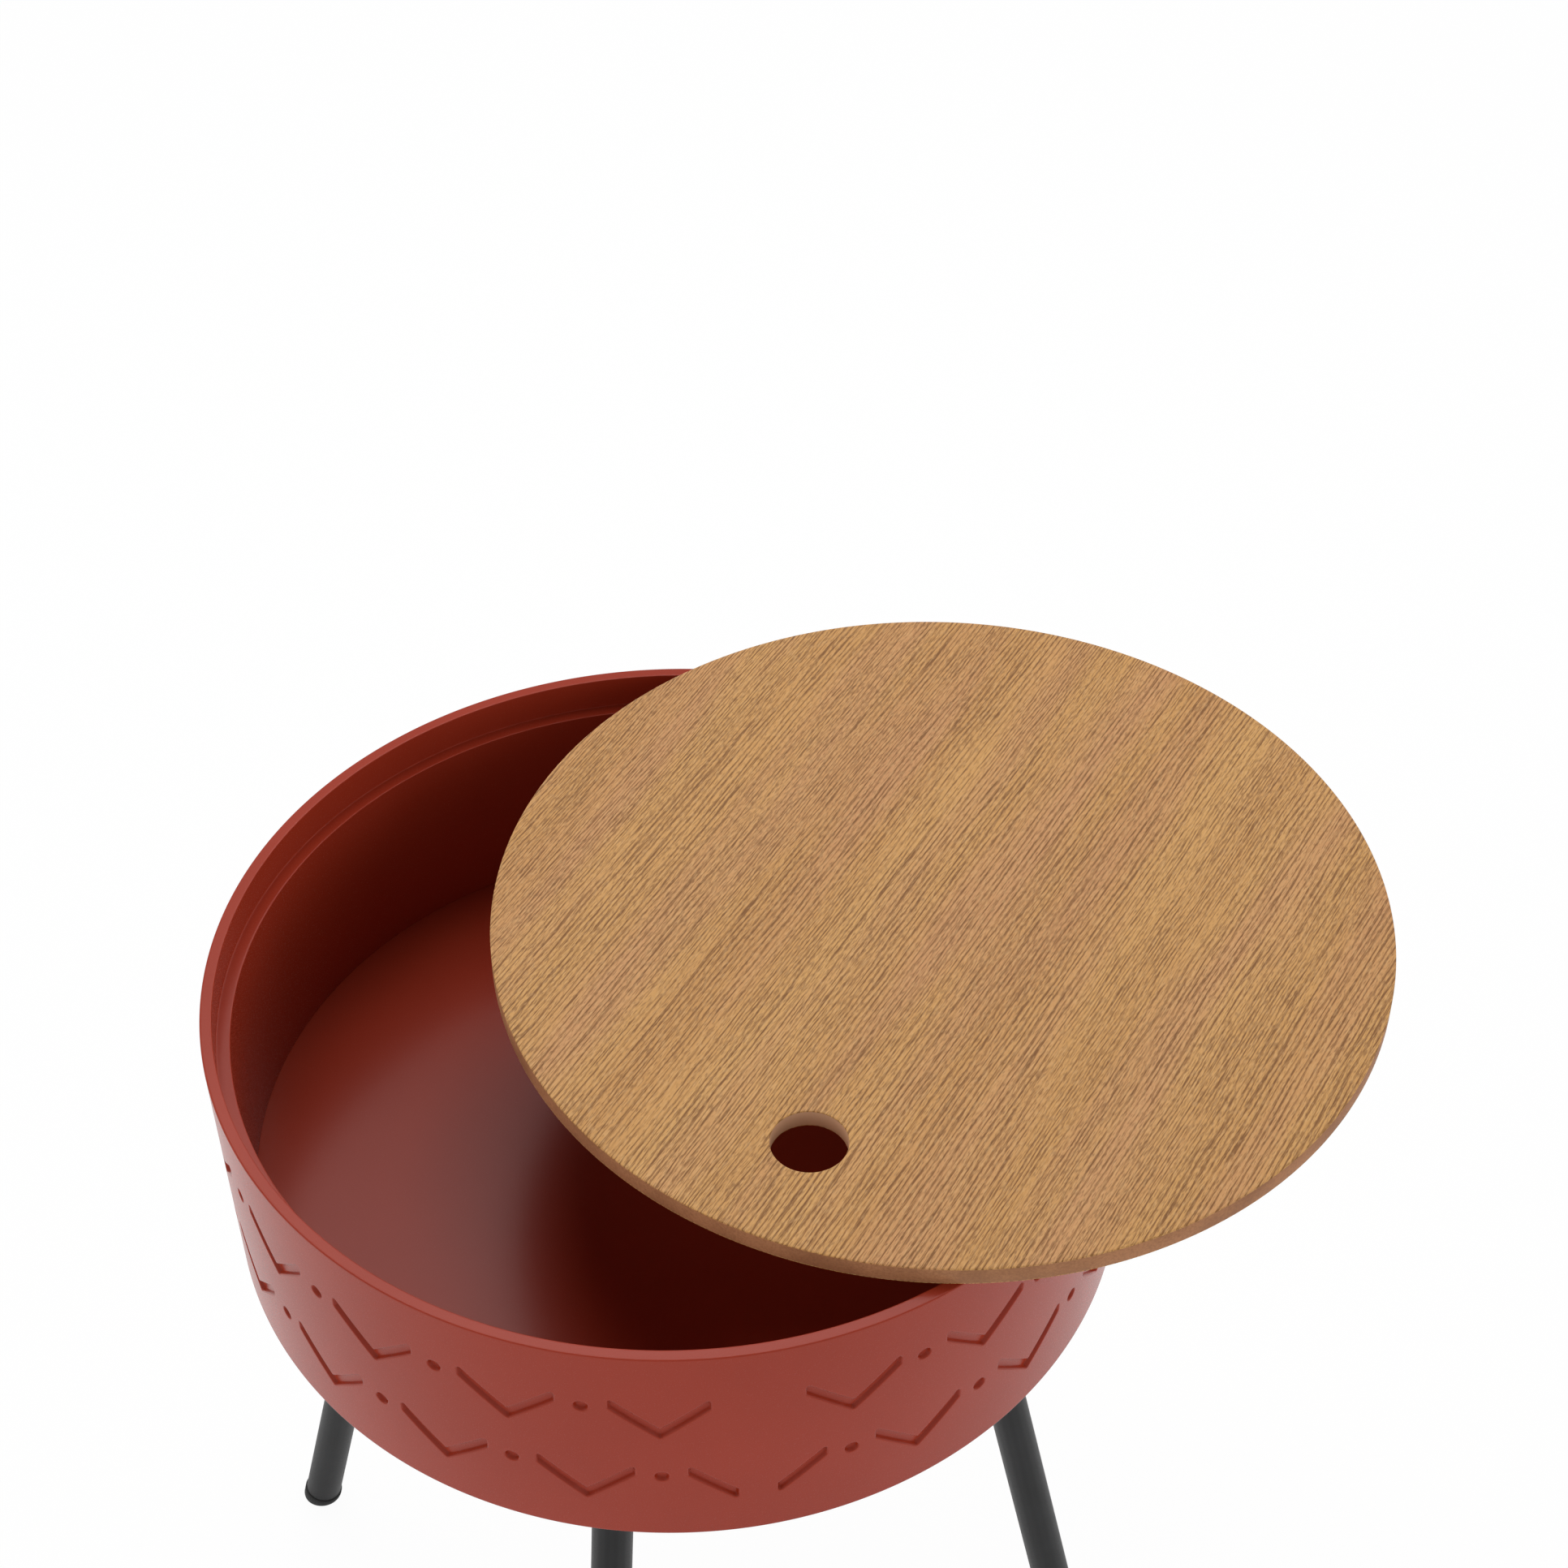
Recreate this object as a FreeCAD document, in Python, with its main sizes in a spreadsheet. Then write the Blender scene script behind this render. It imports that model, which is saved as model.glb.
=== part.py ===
# Storage side table: a lacquered drum with a loose veneered lid, standing on four splayed steel legs
# Frame: origin on the floor under the drum's axis, +Z up, +X the way in which the lid is slid aside
import FreeCAD
import Part
import Sketcher
import os

doc = FreeCAD.newDocument("storage_side_table")

# Driving sizes, in millimetres and degrees
SIZES = [
    # The drum
    ("stand_height", "340", "floor to the foot of the drum wall"),
    ("drum_height", "120", "height of the drum wall"),
    ("rim_radius", "200", "outside of the wall at the rim"),
    ("foot_radius", "196", "outside of the wall at its foot"),
    ("rim_width", "4.5", "wall outside the lid's rebate, measured at the ledge, where it is thinnest"),
    ("ledge_drop", "16", "rim down to the ledge that carries the lid"),
    ("ledge_width", "6", "the ledge, from the rebate to the cavity"),
    ("cavity_taper", "2", "how much less the cavity narrows on its way down than the outside does"),
    ("floor_thick", "12", "floor panel"),
    ("floor_recess", "3", "foot of the wall up to the panel's underside"),
    ("floor_lip", "4.3", "edge of the panel that is held in the wall"),
    ("glue_gap", "0.3", "play round the floor panel and the plugs of the foot caps"),
    # The routed pattern
    ("chevrons", "20", "chevrons in the upper row"),
    ("seam_turn", "-94.2", "direction of the wall's glued seam, where the pattern stops"),
    ("seam_margin", "8.2", "seam to the first half chevron, along the wall"),
    ("groove_depth", "3", "depth of the flat-bottomed grooves, in the middle of each cut"),
    ("groove_band", "6.5", "height of a chevron's arm, measured upright"),
    ("chevron_half", "20", "half the width of a chevron"),
    ("chevron_drop", "19", "fall of an arm from its end to the middle"),
    ("chevron_top", "27", "rim down the wall to the tops of the upper row's arms"),
    ("row_step", "45", "upper row down to the lower row"),
    ("dot_radius", "2.9", "dots between the chevrons, out to their corners"),
    ("dot_sides", "6", "sides of a dot, few because there are many dots"),
    ("dot_drop", "34", "rim down the wall to the middle of the upper row's dots"),
    # The lid
    ("lid_gap", "1.5", "play of the lid in its rebate, on the radius"),
    ("core_thick", "7.8", "board of the lid"),
    ("veneer_thick", "0.6", "veneer on each face of the lid"),
    ("finger_radius", "16", "finger hole"),
    ("finger_out", "141", "middle of the lid to the middle of the finger hole"),
    ("finger_turn", "-129", "direction of the finger hole from the middle of the lid"),
    ("lid_slid", "118", "how far the lid is slid aside"),
    # The legs
    ("leg_lean", "12.5", "lean of the legs, straight outwards"),
    ("leg_circle", "131.5", "radius at which the tubes meet their plates"),
    ("leg_turn", "-73.5", "direction half way between the front and the right leg"),
    ("leg_spread", "42", "half the angle between the front and the right leg"),
    ("tube_radius", "9", "outside of a leg tube"),
    ("tube_wall", "1.5", "wall of a leg tube"),
    ("plate_length", "62", "mounting plate on top of a tube, across the lean"),
    ("plate_width", "30", "mounting plate, along the lean"),
    ("plate_corner", "7", "cut corners of a mounting plate"),
    ("plate_thick", "4", "mounting plate"),
    ("cap_radius", "9.6", "head of a foot cap"),
    ("cap_thick", "6", "head of a foot cap, along the tube's axis"),
    ("plug_length", "14", "plug of a foot cap inside its tube"),
    # The screws
    ("screw_out", "21", "axis of the tube's end to a screw, on each side"),
    ("screw_radius", "2.5", "shank of a screw"),
    ("screw_length", "13", "shank of a screw, from its head to its tip"),
    ("head_radius", "4.6", "six-sided head of a screw, out to its corners"),
    ("head_thick", "3.5", "head of a screw"),
    ("screw_gap", "0.3", "play round a screw in its plate"),
    # How far cutting bodies reach past what they cut
    ("overrun", "5", "reach of a cut past the surface"),
]
sheet = doc.addObject("Spreadsheet::Sheet", "sizes")
for row, (alias, number, meaning) in enumerate(SIZES, start=1):
    sheet.set(f"A{row}", meaning)
    sheet.set(f"B{row}", number)
    sheet.setAlias(f"B{row}", alias)
doc.recompute()

# Sizes that follow from the driving ones, as expressions
RIM_TOP = "(sizes.stand_height + sizes.drum_height)"
WALL_TAPER = "(sizes.rim_radius - sizes.foot_radius)"
LEDGE_OUTSIDE = f"(sizes.rim_radius - {WALL_TAPER} * sizes.ledge_drop / sizes.drum_height)"
REBATE_RADIUS = f"({LEDGE_OUTSIDE} - sizes.rim_width)"
LEDGE_RADIUS = f"({REBATE_RADIUS} - sizes.ledge_width)"
CAVITY_FOOT_RADIUS = f"({LEDGE_RADIUS} - {WALL_TAPER} + sizes.cavity_taper)"
FLOOR_SEAT_RADIUS = f"({CAVITY_FOOT_RADIUS} + sizes.floor_lip)"
SHOULDER = "(sizes.floor_recess + sizes.floor_thick)"
FLOOR_UNDERSIDE = "(sizes.stand_height + sizes.floor_recess)"
PLATE_UNDERSIDE = f"({FLOOR_UNDERSIDE} - sizes.plate_thick)"
LID_RADIUS = f"({REBATE_RADIUS} - sizes.lid_gap)"
TAPER = f"atan({WALL_TAPER} / sizes.drum_height)"
WALL_RISE = f"(sizes.drum_height / cos({TAPER}))"
MARGIN_TURN = "(sizes.seam_margin / sizes.rim_radius * 180 / pi)"
HALF_TURN = "((sizes.seam_margin + sizes.chevron_half / 2) / sizes.rim_radius * 180 / pi)"
PITCH_TURN = f"((360 - 2 * {MARGIN_TURN}) / sizes.chevrons)"
LEAN = "(sizes.leg_lean * 1 deg)"
FOOT_CIRCLE = f"(sizes.leg_circle + {PLATE_UNDERSIDE} * tan({LEAN}))"
LEGS = {
    "front": "(sizes.leg_turn - sizes.leg_spread)",
    "right": "(sizes.leg_turn + sizes.leg_spread)",
    "back": "(sizes.leg_turn - sizes.leg_spread + 180)",
    "left": "(sizes.leg_turn + sizes.leg_spread + 180)",
}


def value(expression):
    """The number that an expression has now."""
    return float(sheet.evalExpression(expression))


def bind(item, **expressions):
    """Tie properties of an object to expressions; two underscores stand for a dot."""
    for name, expression in expressions.items():
        item.setExpression(name.replace("__", "."), expression)


def placed(item, x="0", y="0", z="0", turn="0"):
    """Put an object at a place, turned about the upright axis."""
    item.Placement = FreeCAD.Placement(
        FreeCAD.Vector(value(x), value(y), value(z)),
        FreeCAD.Rotation(FreeCAD.Vector(0, 0, 1), value(turn)),
    )
    bind(item, Placement__Base__x=x, Placement__Base__y=y, Placement__Base__z=z)
    bind(item, Placement__Rotation__Angle=turn)


def new_body(name):
    """An empty body."""
    return doc.addObject("PartDesign::Body", name)


def new_sketch(body, name, role):
    """A sketch on one of its body's own planes."""
    sketch = body.newObject("Sketcher::SketchObject", name)
    planes = [item for item in body.Origin.OriginFeatures if item.Role == role]
    sketch.AttachmentSupport = (planes[0], "")
    sketch.MapMode = "FlatFace"
    return sketch


def fix_point(sketch, edge, end, x, y):
    """Hold a point of a sketch at two expressions, measured from the sketch's origin."""
    for kind, expression, axis in (("DistanceX", x, -2), ("DistanceY", y, -1)):
        if expression == "0":
            sketch.addConstraint(Sketcher.Constraint("PointOnObject", edge, end, axis))
        else:
            number = value(expression)
            index = sketch.addConstraint(Sketcher.Constraint(kind, -1, 1, edge, end, number))
            sketch.setExpression(f"Constraints[{index}]", expression)


def add_outline(sketch, corners):
    """A closed outline through corners given as expressions."""
    points = [FreeCAD.Vector(value(x), value(y), 0) for x, y in corners]
    first = sketch.GeometryCount
    for start, end in zip(points, points[1:] + points[:1]):
        sketch.addGeometry(Part.LineSegment(start, end))
    for index, (x, y) in enumerate(corners):
        before = first + (index - 1) % len(corners)
        sketch.addConstraint(Sketcher.Constraint("Coincident", before, 2, first + index, 1))
        fix_point(sketch, first + index, 1, x, y)


def add_polygon(sketch, x, y, radius, sides):
    """A regular outline with a number of sides, about a middle."""
    turns = [f"(360 / {sides} * {index} * 1 deg)" for index in range(int(value(sides)))]
    add_outline(sketch, [(f"{x} + {radius} * cos({t})", f"{y} + {radius} * sin({t})") for t in turns])


def add_circle(sketch, x, y, radius):
    """A circle whose middle and radius are expressions."""
    middle = FreeCAD.Vector(value(x), value(y), 0)
    circle = sketch.addGeometry(Part.Circle(middle, FreeCAD.Vector(0, 0, 1), value(radius)))
    fix_point(sketch, circle, 3, x, y)
    index = sketch.addConstraint(Sketcher.Constraint("Radius", circle, value(radius)))
    sketch.setExpression(f"Constraints[{index}]", radius)


def revolved(body, sketch):
    """A full turn of a sketch about its own upright axis."""
    turn = body.newObject("PartDesign::Revolution", f"{sketch.Name}_turn")
    turn.Profile = sketch
    turn.ReferenceAxis = (sketch, ["V_Axis"])
    turn.Angle = 360
    return turn


def padded(body, sketch, length, reverse=False):
    """A sketch thickened by an expression."""
    pad = body.newObject("PartDesign::Pad", f"{sketch.Name}_pad")
    pad.Profile = sketch
    pad.Reversed = reverse
    bind(pad, Length=length)
    return pad


def repeated(body, feature, angle, count):
    """Copies of a feature about the upright axis, spread over an angle."""
    pattern = body.newObject("PartDesign::PolarPattern", f"{feature.Name}_copies")
    pattern.Originals = [feature]
    axes = [item for item in body.Origin.OriginFeatures if item.Role == "Z_Axis"]
    pattern.Axis = (axes[0], [""])
    bind(pattern, Angle=angle, Occurrences=count)
    body.Tip = pattern
    return pattern


def boolean(kind, name, base, tool):
    """A cut or a fusion of two objects."""
    result = doc.addObject(kind, name)
    result.Base = base
    result.Tool = tool
    return result


def grouped(name, items):
    """Separate pieces of one kind under one name."""
    group = doc.addObject("Part::Compound", name)
    group.Links = items
    return group


def make_drum_ring():
    """The wall before routing: a turned profile with the lid's rebate above and the floor's below."""
    ledge = "(sizes.drum_height - sizes.ledge_drop)"
    body = new_body("drum_ring")
    sketch = new_sketch(body, "ring_profile", "XZ_Plane")
    corners = [
        ("sizes.foot_radius", "0"),
        ("sizes.rim_radius", "sizes.drum_height"),
        (REBATE_RADIUS, "sizes.drum_height"),
        (REBATE_RADIUS, ledge),
        (LEDGE_RADIUS, ledge),
        (CAVITY_FOOT_RADIUS, SHOULDER),
        (FLOOR_SEAT_RADIUS, SHOULDER),
        (FLOOR_SEAT_RADIUS, "0"),
    ]
    add_outline(sketch, corners)
    revolved(body, sketch)
    return body


def groove_sketch(body, name, turn):
    """A sketch outside the wall and parallel to its slope, turned from the seam about the drum's axis."""
    sketch = new_sketch(body, name, "XZ_Plane")
    out = f"(sizes.foot_radius + sizes.overrun * cos({TAPER}))"
    bind(sketch, AttachmentOffset__Rotation__Pitch=turn, AttachmentOffset__Rotation__Roll=TAPER)
    bind(sketch, AttachmentOffset__Base__x=f"{out} * sin({turn} * 1 deg)")
    bind(sketch, AttachmentOffset__Base__y=f"-sizes.overrun * sin({TAPER})")
    bind(sketch, AttachmentOffset__Base__z=f"{out} * cos({turn} * 1 deg)")
    return sketch


def add_chevron(sketch, row):
    """A chevron: two arms of upright height groove_band that fall to the middle, with upright ends."""
    top = f"({WALL_RISE} - sizes.chevron_top - {row} * sizes.row_step)"
    corners = [
        ("-sizes.chevron_half", top),
        ("-sizes.chevron_half", f"{top} - sizes.groove_band"),
        ("0", f"{top} - sizes.chevron_drop - sizes.groove_band"),
        ("sizes.chevron_half", f"{top} - sizes.groove_band"),
        ("sizes.chevron_half", top),
        ("0", f"{top} - sizes.chevron_drop"),
    ]
    add_outline(sketch, corners)


def add_half_chevron(sketch, row, side):
    """One arm beside the seam, rising away from it; side is -1 or 1."""
    top = f"({WALL_RISE} - sizes.chevron_top - {row} * sizes.row_step)"
    near = f"{-side} * sizes.chevron_half / 2"
    far = f"{side} * sizes.chevron_half / 2"
    corners = [
        (far, top),
        (far, f"{top} - sizes.groove_band"),
        (near, f"{top} - sizes.chevron_drop - sizes.groove_band"),
        (near, f"{top} - sizes.chevron_drop"),
    ]
    add_outline(sketch, corners)


def add_dot(sketch, row):
    """A dot of a row."""
    middle = f"({WALL_RISE} - sizes.dot_drop - {row} * sizes.row_step)"
    add_polygon(sketch, "0", middle, "sizes.dot_radius", "sizes.dot_sides")


def routed(body, sketch):
    """What the router takes away along a sketch, down to a flat bottom."""
    return padded(body, sketch, "sizes.overrun + sizes.groove_depth", reverse=True)


def make_groove_cutters():
    """All the cuts of the pattern. Each column holds a chevron of one row and a dot of the other."""
    body = new_body("groove_cutters")
    upper = groove_sketch(body, "upper_column", f"({MARGIN_TURN} + {PITCH_TURN} / 2)")
    add_chevron(upper, 0)
    add_dot(upper, 1)
    repeated(body, routed(body, upper), f"{PITCH_TURN} * (sizes.chevrons - 1)", "sizes.chevrons")
    lower = groove_sketch(body, "lower_column", f"({MARGIN_TURN} + {PITCH_TURN})")
    add_chevron(lower, 1)
    add_dot(lower, 0)
    repeated(body, routed(body, lower), f"{PITCH_TURN} * (sizes.chevrons - 2)", "sizes.chevrons - 1")
    for name, side in (("left", -1), ("right", 1)):
        half = groove_sketch(body, f"seam_{name}", f"({side} * {HALF_TURN})")
        add_half_chevron(half, 1, side)
        routed(body, half)
    return body


def make_drum_wall():
    """The turned wall with its routed pattern."""
    wall = boolean("Part::Cut", "drum_wall", make_drum_ring(), make_groove_cutters())
    placed(wall, z="sizes.stand_height", turn="sizes.seam_turn + 90")
    return wall


def make_drum_floor():
    """The floor panel, pressed against the wall's shoulder from below."""
    body = new_body("drum_floor")
    disc = new_sketch(body, "floor_disc", "XY_Plane")
    add_circle(disc, "0", "0", f"{FLOOR_SEAT_RADIUS} - sizes.glue_gap")
    padded(body, disc, "sizes.floor_thick")
    placed(body, z=FLOOR_UNDERSIDE)
    return body


def make_lid_layer(name, thickness, height):
    """One layer of the lid, with the finger hole through it."""
    body = new_body(name)
    sketch = new_sketch(body, f"{name}_outline", "XY_Plane")
    add_circle(sketch, "0", "0", LID_RADIUS)
    hole_x = "sizes.finger_out * cos(sizes.finger_turn * 1 deg)"
    hole_y = "sizes.finger_out * sin(sizes.finger_turn * 1 deg)"
    add_circle(sketch, hole_x, hole_y, "sizes.finger_radius")
    padded(body, sketch, thickness)
    placed(body, x="sizes.lid_slid", z=height)
    return body


def make_lid():
    """Board and veneers, lying on the rim."""
    core_bottom = f"{RIM_TOP} + sizes.veneer_thick"
    return [
        make_lid_layer("lid_bottom_veneer", "sizes.veneer_thick", RIM_TOP),
        make_lid_layer("lid_core", "sizes.core_thick", core_bottom),
        make_lid_layer("lid_top_veneer", "sizes.veneer_thick", f"{core_bottom} + sizes.core_thick"),
    ]


def leaning_cylinder(name, radius, start, length):
    """A cylinder on the axis of a leg that leans along X; start is measured up the axis from the floor."""
    rod = doc.addObject("Part::Cylinder", name)
    rod.Placement = FreeCAD.Placement(
        FreeCAD.Vector(0, 0, 0), FreeCAD.Rotation(FreeCAD.Vector(0, 1, 0), value("-sizes.leg_lean"))
    )
    bind(rod, Radius=radius, Height=length)
    bind(rod, Placement__Rotation__Angle="-sizes.leg_lean")
    bind(rod, Placement__Base__x=f"{FOOT_CIRCLE} - ({start}) * sin({LEAN})")
    bind(rod, Placement__Base__z=f"({start}) * cos({LEAN})")
    return rod


def past_level(radius):
    """How far a leaning rod runs on, along its axis, to lie wholly past a level cut."""
    return f"({radius} * tan({LEAN}) + sizes.overrun)"


def level_block(name, x, bottom, height):
    """A block that trims a leg level, as wide as a plate is long."""
    block = doc.addObject("Part::Box", name)
    bind(block, Length="sizes.plate_length", Width="sizes.plate_length", Height=height)
    bind(block, Placement__Base__x=f"{x} - sizes.plate_length / 2")
    bind(block, Placement__Base__y="-sizes.plate_length / 2")
    bind(block, Placement__Base__z=bottom)
    return block


def make_leg_tube(leg, turn):
    """A round tube, cut level under its plate and square above its foot cap."""
    above = past_level("sizes.tube_radius")
    run = f"({PLATE_UNDERSIDE} / cos({LEAN}) - sizes.cap_thick + {above})"
    outside = leaning_cylinder(f"tube_outside_{leg}", "sizes.tube_radius", "sizes.cap_thick", run)
    bore_start = "sizes.cap_thick - sizes.overrun"
    bore_run = f"{run} + 2 * sizes.overrun"
    bore = leaning_cylinder(f"tube_bore_{leg}", "sizes.tube_radius - sizes.tube_wall", bore_start, bore_run)
    tube = boolean("Part::Cut", f"tube_{leg}", outside, bore)
    block = level_block(f"tube_trim_{leg}", "sizes.leg_circle", PLATE_UNDERSIDE, f"2 * {above}")
    trimmed = boolean("Part::Cut", f"leg_tube_{leg}", tube, block)
    placed(trimmed, turn=turn)
    return trimmed


def make_foot_cap(leg, turn):
    """A plastic cap: a plug inside the tube and a head with a level sole that stands on the floor."""
    below = past_level("sizes.cap_radius")
    head = leaning_cylinder(f"cap_head_{leg}", "sizes.cap_radius", f"-{below}", f"sizes.cap_thick + {below}")
    plug_radius = "sizes.tube_radius - sizes.tube_wall - sizes.glue_gap"
    plug_run = f"sizes.cap_thick + sizes.plug_length + {below}"
    plug = leaning_cylinder(f"cap_plug_{leg}", plug_radius, f"-{below}", plug_run)
    whole = boolean("Part::Fuse", f"cap_{leg}", head, plug)
    block = level_block(f"cap_trim_{leg}", FOOT_CIRCLE, f"-2 * {below}", f"2 * {below}")
    cap = boolean("Part::Cut", f"foot_cap_{leg}", whole, block)
    placed(cap, turn=turn)
    return cap


def make_foot_caps():
    """The caps of all the legs, as one group of separate pieces."""
    return grouped("foot_caps", [make_foot_cap(leg, turn) for leg, turn in LEGS.items()])


def at_plate(item, turn):
    """Put an object where a leg's plate starts, with its own Y axis across the lean."""
    x = f"sizes.leg_circle * cos({turn} * 1 deg)"
    y = f"sizes.leg_circle * sin({turn} * 1 deg)"
    placed(item, x=x, y=y, z=PLATE_UNDERSIDE, turn=turn)


def make_leg_plate(leg, turn):
    """A steel plate with cut corners and a hole on each side, welded on the level end of its tube."""
    body = new_body(f"leg_plate_{leg}")
    sketch = new_sketch(body, f"plate_outline_{leg}", "XY_Plane")
    end_x = "sizes.plate_width / 2"
    end_y = "sizes.plate_length / 2"
    in_x = f"({end_x} - sizes.plate_corner)"
    in_y = f"({end_y} - sizes.plate_corner)"
    corners = [
        (end_x, in_y),
        (in_x, end_y),
        (f"-{in_x}", end_y),
        (f"-{end_x}", in_y),
        (f"-{end_x}", f"-{in_y}"),
        (f"-{in_x}", f"-{end_y}"),
        (in_x, f"-{end_y}"),
        (end_x, f"-{in_y}"),
    ]
    add_outline(sketch, corners)
    for side in (-1, 1):
        add_circle(sketch, "0", f"{side} * sizes.screw_out", "sizes.screw_radius + sizes.screw_gap")
    padded(body, sketch, "sizes.plate_thick")
    at_plate(body, turn)
    return body


def make_screws():
    """Hexagon-head wood screws, two in each plate, which cut their own way into the floor panel."""
    pairs = []
    for leg, turn in LEGS.items():
        body = new_body(f"screw_pair_{leg}")
        heads = new_sketch(body, f"screw_heads_{leg}", "XY_Plane")
        shanks = new_sketch(body, f"screw_shanks_{leg}", "XY_Plane")
        for side in (-1, 1):
            add_polygon(heads, "0", f"{side} * sizes.screw_out", "sizes.head_radius", "6")
            add_circle(shanks, "0", f"{side} * sizes.screw_out", "sizes.screw_radius")
        padded(body, heads, "sizes.head_thick", reverse=True)
        padded(body, shanks, "sizes.screw_length")
        at_plate(body, turn)
        pairs.append(body)
    return grouped("plate_screws", pairs)


subparts = [make_drum_wall(), make_drum_floor(), *make_lid()]
for leg, turn in LEGS.items():
    subparts += [make_leg_tube(leg, turn), make_leg_plate(leg, turn)]
subparts += [make_foot_caps(), make_screws()]
doc.recompute()

failed = [item.Name for item in doc.Objects if {"Invalid", "Error"} & set(item.State)]
failed += [item.Name for item in subparts if item.Shape.isNull() or not item.Shape.isValid()]
if failed:
    raise RuntimeError(f"these objects failed: {failed}")

os.makedirs("parts", exist_ok=True)
for item in subparts:
    item.Shape.exportStep(f"parts/{item.Label}.step")
    print(f"{item.Label}: {len(item.Shape.Solids)} solids, {item.Shape.Volume:.0f} cubic mm")
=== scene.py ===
# %% [markdown]
# # A storage side table with a loose wooden lid
# The table is a red lacquered drum on four splayed steel legs. Its round lid is slid aside, so that
# the inside shows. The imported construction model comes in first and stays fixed: it gives every place
# and size, and the pieces made below stand where its own pieces stand.

# %% Load the fixed frame
import math

import bmesh
import bpy
import numpy as np
from mathutils import Matrix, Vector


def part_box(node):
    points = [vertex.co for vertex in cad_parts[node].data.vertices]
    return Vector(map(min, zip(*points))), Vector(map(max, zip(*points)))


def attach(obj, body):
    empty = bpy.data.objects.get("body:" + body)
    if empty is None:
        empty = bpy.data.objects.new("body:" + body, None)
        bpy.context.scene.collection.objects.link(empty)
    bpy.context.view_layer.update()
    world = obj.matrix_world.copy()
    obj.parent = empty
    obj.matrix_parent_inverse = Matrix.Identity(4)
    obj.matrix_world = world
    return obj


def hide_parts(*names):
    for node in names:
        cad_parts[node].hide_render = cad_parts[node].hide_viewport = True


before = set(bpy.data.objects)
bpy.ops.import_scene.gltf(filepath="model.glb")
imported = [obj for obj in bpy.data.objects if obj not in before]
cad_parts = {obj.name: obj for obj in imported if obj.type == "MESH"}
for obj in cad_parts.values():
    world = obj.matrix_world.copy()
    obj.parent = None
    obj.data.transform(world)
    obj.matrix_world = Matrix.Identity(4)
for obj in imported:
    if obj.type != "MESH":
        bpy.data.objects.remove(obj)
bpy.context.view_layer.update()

# %% [markdown]
# ## Sizes
# Heights are read from the frame. Round pieces arrive as many flat facets, so their radii are written
# here as the real numbers, and one line prints how well the frame agrees. All lengths are in metres.

# %% Main sizes of the drum
mm = 0.001
wall_low, wall_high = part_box("drum_wall")
foot_z = wall_low.z
rim_z = wall_high.z
inside_floor_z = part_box("drum_floor")[1].z
rim_radius = 200 * mm
foot_radius = 196 * mm
rim_wall = 4.5 * mm
ledge_drop = 16 * mm
ledge_width = 6 * mm
cavity_narrowing = 2 * mm
floor_lip = 4.3 * mm
wall_slope = math.atan((rim_radius - foot_radius) / (rim_z - foot_z))
rebate_radius = rim_radius - ledge_drop * math.tan(wall_slope) - rim_wall
ledge_radius = rebate_radius - ledge_width
cavity_foot_radius = ledge_radius - cavity_narrowing
floor_seat_radius = cavity_foot_radius + floor_lip
frame_radius = (wall_high.x - wall_low.x) / 2
print(f"rim radius {rim_radius:.4f} m here, {frame_radius:.4f} m in the frame")

# %% [markdown]
# ## The camera
# The photograph was taken from above the front with a long lens. Fitting the ellipses of the rim, the
# lid and the drum's foot gave the lens, the distance and the height of the camera. It looks a little
# past the drum, which is why the table sits low in the picture.

# %% Directions of the camera
camera_elevation = math.radians(46.45)
camera_turn = math.radians(-12.34)
aim_right = math.radians(2.012)
aim_up = math.radians(3.336)
camera_roll = math.radians(0.261)


def unit(vector):
    """A vector divided by its own length."""
    return vector / np.linalg.norm(vector)


def camera_axes():
    """The way out to the camera, then its own right, up and back. It looks along the line to the rim's
    middle, turned by the two aims, and is rolled about its view."""
    away = np.array([0, -math.cos(camera_elevation), math.sin(camera_elevation)])
    side = np.array([1.0, 0.0, 0.0])
    above = np.cross(side, -away)
    ahead = -away * math.cos(aim_right) * math.cos(aim_up)
    ahead = unit(ahead + side * math.sin(aim_right) * math.cos(aim_up) + above * math.sin(aim_up))
    level = unit(np.cross(ahead, [0, 0, 1]))
    upright = np.cross(level, ahead)
    right = level * math.cos(camera_roll) + upright * math.sin(camera_roll)
    up = upright * math.cos(camera_roll) - level * math.sin(camera_roll)
    return away, right, up, -ahead


def turned(vector):
    """A vector turned about the upright axis into the table's own frame."""
    c, s = math.cos(camera_turn), math.sin(camera_turn)
    return np.array([[c, -s, 0], [s, c, 0], [0, 0, 1]]) @ vector


away, right, up, back = (turned(axis) for axis in camera_axes())
print("the camera looks along", np.round(-back, 3))

# %% [markdown]
# The focal length was fitted in pixels of the square picture. On a sensor of the usual width it becomes a
# lens in millimetres.

# %% Camera at the photograph's viewing angle
camera_distance = 1.3916
sensor_width = 36
picture_size = 1932
focal_pixels = 4032.2
camera_place = np.eye(4)
camera_place[:3, 0], camera_place[:3, 1], camera_place[:3, 2] = right, up, back
camera_place[:3, 3] = away * camera_distance + np.array([0, 0, rim_z])
camera_data = bpy.data.cameras.new("photo_camera")
camera_data.sensor_width = sensor_width
camera_data.lens = focal_pixels / picture_size * sensor_width
camera = bpy.data.objects.new("photo_camera", camera_data)
camera.matrix_world = Matrix(camera_place.tolist())
bpy.context.scene.collection.objects.link(camera)
bpy.context.scene.camera = camera
print("camera at", np.round(camera_place[:3, 3], 4), "lens", round(camera_data.lens, 2), "mm")

# %% [markdown]
# ## Node helpers
# Every finish below is a small tree of shader nodes. A few helpers keep those trees readable: they add a
# node and fill its sockets, blend two colours, stretch a grey pattern to a new range, make soft clouds, and
# start a new finish.

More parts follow.
